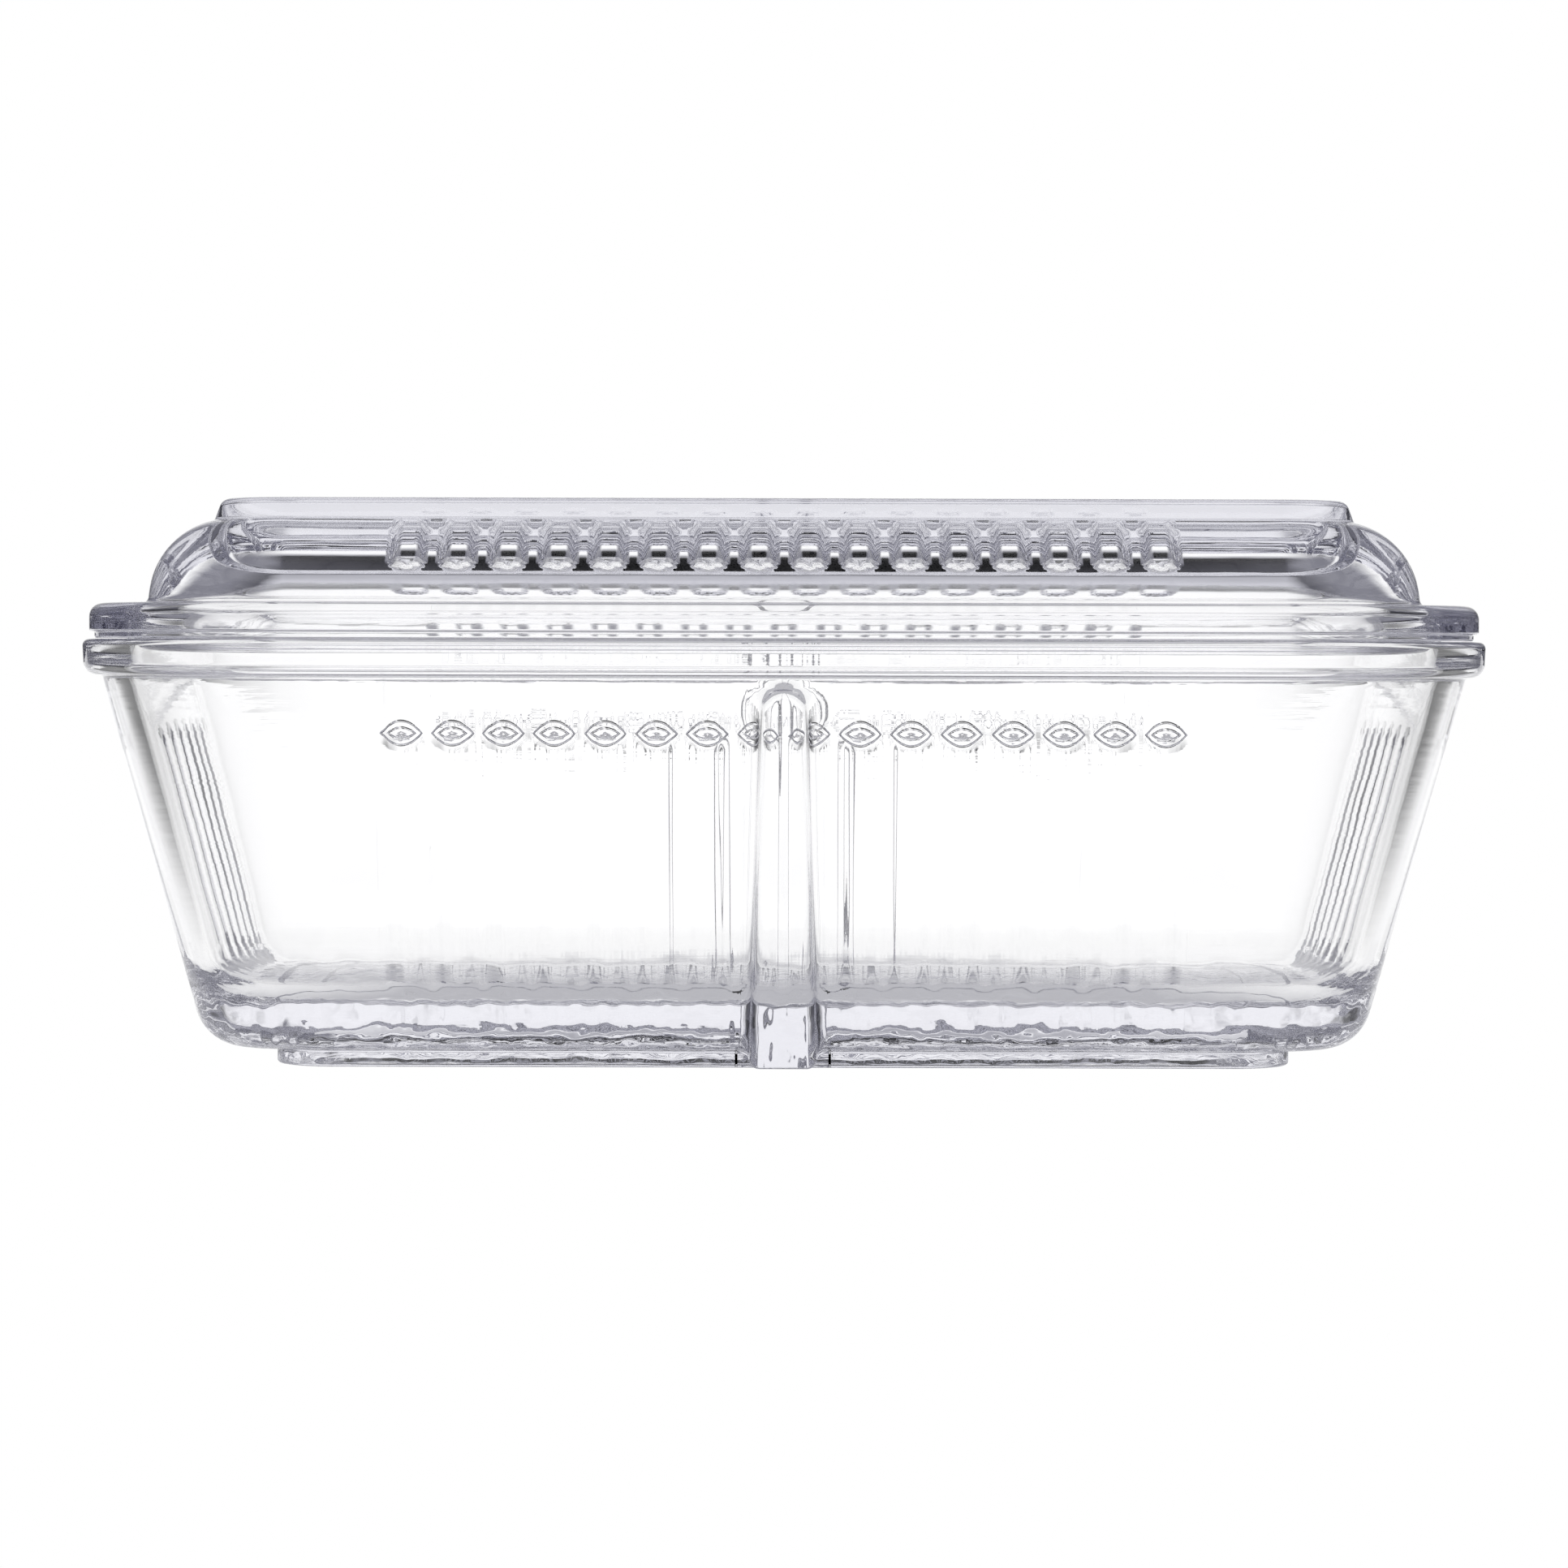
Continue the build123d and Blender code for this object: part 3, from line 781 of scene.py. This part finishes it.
def glass(name, low_ripple):
    """Clear pressed glass. Heights are in millimetres; low_ripple is the height of the waves that
    the mould left round the tub's underside, and 0 for the lid."""
    material = bpy.data.materials.new(name)
    make = Nodes(material)
    shader = make.nodes["Principled BSDF"]
    shader.inputs["IOR"].default_value = GLASS_INDEX
    shader.inputs["Transmission Weight"].default_value = 1.0
    shader.inputs["Base Color"].default_value = (1, 1, 1, 1)
    absorption = make.add("VolumeAbsorption")
    absorption.inputs["Color"].default_value = GLASS_TINT
    absorption.inputs["Density"].default_value = GLASS_DENSITY
    make.links.new(absorption.outputs[0], make.nodes["Material Output"].inputs["Volume"])

    coordinates = make.add("TexCoord")
    position = make.vector("MULTIPLY", coordinates.outputs["Object"], (1 / MM, 1 / MM, 1 / MM))
    x, y, z = make.add("SeparateXYZ", position).outputs

    waves = make.product(make.noise(position, WAVE_SIZE, detail=1.0), WAVE_HEIGHT)
    along = make.vector("MULTIPLY", position, (DRAG_STRETCH, DRAG_STRETCH, 1))
    drag = make.product(make.noise(along, DRAG_SIZE, detail=3.0), DRAG_HEIGHT)
    height = make.total(waves, drag)
    if low_ripple:
        height = make.total(height, tub_marks(make, position, x, y, z, low_ripple))
        height = make.math("SUBTRACT", height, eye_creases(make, x, y, z))
    bump = make.add("Bump")
    make.feed(bump.inputs["Strength"], 1.0)
    make.feed(bump.inputs["Distance"], MM)
    make.feed(bump.inputs["Height"], height)
    make.links.new(bump.outputs[0], shader.inputs["Normal"])

    # a few soft smudges, and a worn ring where the dish stands
    smudge = make.step(make.noise(position, SMUDGE_SIZE, detail=2.0), *SMUDGE_NOISE)
    specks = make.step(make.noise(position, WEAR_SIZE, detail=4.0), *WEAR_NOISE)
    wear = make.product(make.step(z, *WEAR_HEIGHTS), WEAR_ROUGHNESS, specks)
    roughness = make.total(make.product(smudge, SMUDGE_ROUGHNESS), wear)
    make.links.new(roughness, shader.inputs["Roughness"])
    return material


def tub_marks(make, position, x, y, z, low_ripple):
    """Height of the ripple low down on the tub, and of the upright streaks in its long walls."""
    outside = outside_of_tub(make, x, y, z)
    under_floor = FLOOR_TOP - RIPPLE_GAP
    below = make.step(z, under_floor, under_floor - RIPPLE_FADE)
    on_edge = make.product(outside, make.step(z, RIPPLE_TOP, RIPPLE_FULL))
    low = make.math("MAXIMUM", below, on_edge)
    ripple = make.product(make.noise(position, RIPPLE_SIZE, detail=1.5), low, low_ripple)
    upright = make.vector("MULTIPLY", position, STREAK_STRETCH)
    streaks = make.noise(upright, STREAK_SIZE, detail=2.0)
    return make.total(ripple, make.product(streaks, outside, in_flute_row(make, x), STREAK_HEIGHT))


def in_flute_row(make, x):
    """1 along the tub's long rows of flutes, 0 past their ends."""
    return make.math("LESS_THAN", make.math("ABSOLUTE", x), SIDE_FLUTES / 2 * FLUTE_PITCH)


def outside_of_tub(make, x, y, z):
    """1 on the outer face of the tub's walls, 0 on the inner one."""
    past_x = make.math("MAXIMUM", make.math("SUBTRACT", make.math("ABSOLUTE", x), CORE_X), 0.0)
    past_y = make.math("MAXIMUM", make.math("SUBTRACT", make.math("ABSOLUTE", y), CORE_Y), 0.0)
    squares = make.total(make.math("POWER", past_x, 2.0), make.math("POWER", past_y, 2.0))
    distance = make.math("SUBTRACT", make.math("SQRT", squares), make.product(z, LEAN))
    return make.math("GREATER_THAN", distance, tub_wall_in(0) + WALL / 2)


def eye_creases(make, x, y, z):
    """Depth of the thin eye-shaped creases round the upper ends of the tub's side flutes."""
    across = make.math("SUBTRACT", make.math("FLOORED_MODULO", x, FLUTE_PITCH), FLUTE_PITCH / 2)
    wide = make.math("POWER", make.math("DIVIDE", make.math("ABSOLUTE", across), EYE_HALF_WIDTH), 2.0)
    above = make.math("ABSOLUTE", make.math("SUBTRACT", z, EYE_MIDDLE))
    reach = make.total(wide, make.math("DIVIDE", above, EYE_HALF_HEIGHT))
    outer = make.step(make.math("ABSOLUTE", make.math("SUBTRACT", reach, 1.0)), EYE_LINE, 0.0)
    inner = make.step(make.math("ABSOLUTE", make.math("SUBTRACT", reach, EYE_INNER)), EYE_LINE, 0.0)
    # only on the inner face of the long walls
    inner_face = CORE_Y + tub_wall_in(EYE_MIDDLE)
    face = make.math("LESS_THAN", make.math("ABSOLUTE", y), inner_face + WALL / 2)
    return make.product(make.math("MAXIMUM", outer, inner), EYE_CREASE, in_flute_row(make, x), face)


# ==== the scene ===============================================================
def build_tub():
    half_side = SIDE_FLUTES // 2
    side_half = list(pillar_zone_stations(ZONE_HALF)) + flute_stations(1, half_side, steps=10)
    side_half += list(np.linspace(half_side * FLUTE_PITCH, CORE_X, 5))
    half_end = END_FLUTES // 2
    end = [t - FLUTE_PITCH / 2 for t in flute_stations(-half_end, half_end + 1, steps=10)]
    end = [-CORE_Y] + end + [END_FLUTES / 2 * FLUTE_PITCH, CORE_Y]
    plan = Plan(mirrored(side_half), np.array(end), corner_steps=20)
    section = tub_section()
    positions = place(plan, section)
    press_tub_flutes(positions, plan, section)
    raise_pillars(positions, plan, section)
    return loft("tub_glass", positions)


def build_lid():
    half_side = SIDE_FLUTES // 2
    # without the two stations nearest the middle, where the mirrored half begins
    side_half = flute_stations(0, half_side, steps=14)[2:]
    side_half += list(np.linspace(half_side * FLUTE_PITCH, CORE_X, 5))
    end = np.linspace(-CORE_Y, CORE_Y, 13)
    plan = Plan(mirrored(side_half), end, corner_steps=22)
    section = lid_section()
    positions = place(plan, section)
    press_lid_flutes(positions, plan, section)
    # the lid's section starts on top, the tub's underneath, so its rings are taken backwards
    return loft("lid_glass", positions[::-1])


tub = build_tub()
lid = build_lid()
tub_material = glass("tub_glass", low_ripple=TUB_RIPPLE)
lid_material = glass("lid_glass", low_ripple=0.0)
for piece, body, material in ((tub, "tub", tub_material), (lid, "lid", lid_material)):
    piece.data.materials.append(material)
    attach(piece, body)
    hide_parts(body)

# ---- floor, light and camera -------------------------------------------------
def make_floor():
    """A pale glowing floor like a light table, with a painted shadow that makes it dimmer under and
    close to the dish.
    """
    mesh = bpy.data.meshes.new("floor")
    edge = FLOOR_REACH
    corners = [(-edge, -edge, 0), (edge, -edge, 0), (edge, edge, 0), (-edge, edge, 0)]
    mesh.from_pydata(corners, [], [(0, 1, 2, 3)])
    floor = bpy.data.objects.new("floor", mesh)
    floor.location.z = -FLOOR_BELOW
    bpy.context.scene.collection.objects.link(floor)
    material = bpy.data.materials.new("floor")
    make = Nodes(material)
    make.nodes.remove(make.nodes["Principled BSDF"])
    place_on_floor = make.add("TexCoord").outputs["Object"]
    oval = make.vector("MULTIPLY", place_on_floor, (HALF_WIDTH / HALF_LENGTH, 1, 0))
    # the ramp's dim middle is a painted shadow under the dish, put into the floor's glow
    color = make.ramp(make.vector("LENGTH", oval), FLOOR_GLOW_AND_PAINTED_SHADOW_STOPS)
    # dark flags stand on the floor past both ends of the dish
    away = make.vector("ABSOLUTE", place_on_floor)
    wedge = make.vector("DOT_PRODUCT", away, (1, -FLAG_SPREAD, 0))
    strength = make.step(wedge, FLAG_NEAR, FLAG_FAR, bottom=1.0, top=FLAG_GLOW)
    make.seen_plain(make.add("Emission", color, strength).outputs[0], "Emission", "Material Output")
    mesh.materials.append(material)


def make_studio():
    """A white sweep in front and behind, dark flags at the sides, and a soft box overhead."""
    world = bpy.data.worlds.new("studio")
    bpy.context.scene.world = world
    make = Nodes(world)
    direction = make.add("TexCoord").outputs["Generated"]
    elevation = make.add("SeparateXYZ", direction).outputs["Z"]
    # how far round to the side a direction points: 0 ahead or behind, 1 at the sides
    flat = make.vector("NORMALIZE", make.vector("MULTIPLY", direction, (1, 1, 0)))
    sideways = make.add("SeparateXYZ", make.vector("ABSOLUTE", flat)).outputs["X"]
    # the node's colours are its inputs 6 and 7 and its output 2
    mix = make.add("Mix")
    mix.data_type = "RGBA"
    make.feed(mix.inputs["Factor"], make.step(sideways, FLAG_START, FLAG_FULL))
    make.feed(mix.inputs[6], make.ramp(elevation, SWEEP_STOPS))
    make.feed(mix.inputs[7], make.ramp(elevation, SIDE_STOPS))
    background = make.nodes["Background"]
    make.links.new(mix.outputs[2], background.inputs["Color"])
    make.seen_plain(background.outputs[0], "Background", "World Output")


make_floor()
make_studio()

camera_data = bpy.data.cameras.new("camera")
camera_data.sensor_width = CAMERA_SENSOR
camera_data.lens = CAMERA_LENS
camera = bpy.data.objects.new("camera", camera_data)
camera.location = CAMERA_PLACE
camera.rotation_euler = (math.radians(90 - CAMERA_DOWN), math.radians(CAMERA_ROLL), 0)
bpy.context.scene.collection.objects.link(camera)
bpy.context.scene.camera = camera
bpy.context.scene.view_settings.view_transform = "Standard"
cycles = bpy.context.scene.cycles
cycles.max_bounces = BOUNCES
cycles.glossy_bounces = BOUNCES
cycles.transmission_bounces = BOUNCES
